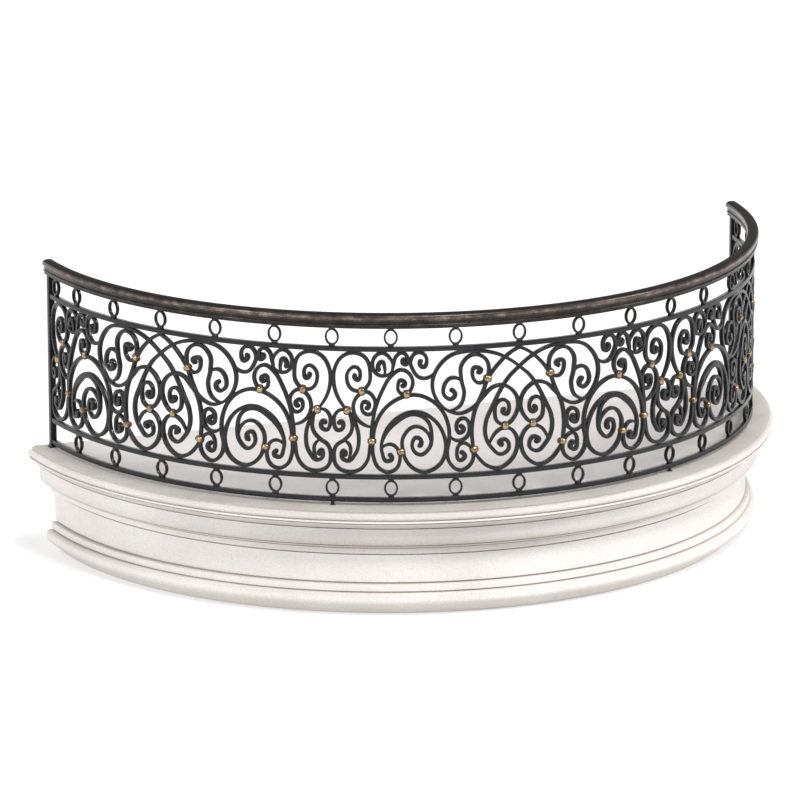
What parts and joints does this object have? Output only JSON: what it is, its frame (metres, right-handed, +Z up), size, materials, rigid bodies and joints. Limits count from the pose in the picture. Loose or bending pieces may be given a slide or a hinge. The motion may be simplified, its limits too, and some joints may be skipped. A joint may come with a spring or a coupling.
{
  "type": "curved balcony railing",
  "caption": "Half-round balcony railing of dark forged scrolls with gilt collars and a moulded bronze handrail, standing on a moulded stone plinth.",
  "frame": {"origin": "middle of the object's box on the underside of the plinth", "axes": "+X to the right along the back wall, +Y towards the wall, +Z up; the railing bows out towards -Y"},
  "size_m": [4.085, 1.965, 1.585],
  "materials": {
    "stone": "smooth pale stone, slightly warm",
    "iron": "satin graphite black",
    "bronze": "dark bronze patina with a soft sheen",
    "brass": "polished, slightly aged gilt"
  },
  "bodies": {
    "root": {"base_course": "stone", "drum_course": "stone", "cornice_course": "stone", "bottom_rail": "iron", "lower_rail": "iron", "upper_rail": "iron", "handrail": "bronze", "post_left": "iron", "post_right": "iron", "pegs": "iron", "lower_rings_1": "iron", "lower_rings_2": "iron", "lower_rings_3": "iron", "upper_rings_1": "iron", "upper_rings_2": "iron", "upper_rings_3": "iron", "lyre_end_left": "iron", "lyre_left": "iron", "lyre_right": "iron", "lyre_end_right": "iron", "dome_1_left": "iron", "dome_1_right": "iron", "dome_2_left": "iron", "dome_2_right": "iron", "dome_3_left": "iron", "dome_3_right": "iron", "arch_1_left": "iron", "arch_1_right": "iron", "arch_2_left": "iron", "arch_2_right": "iron", "arch_3_left": "iron", "arch_3_right": "iron", "collars_1": "brass", "collars_2": "brass", "collars_3": "brass"}
  },
  "joints": []
}
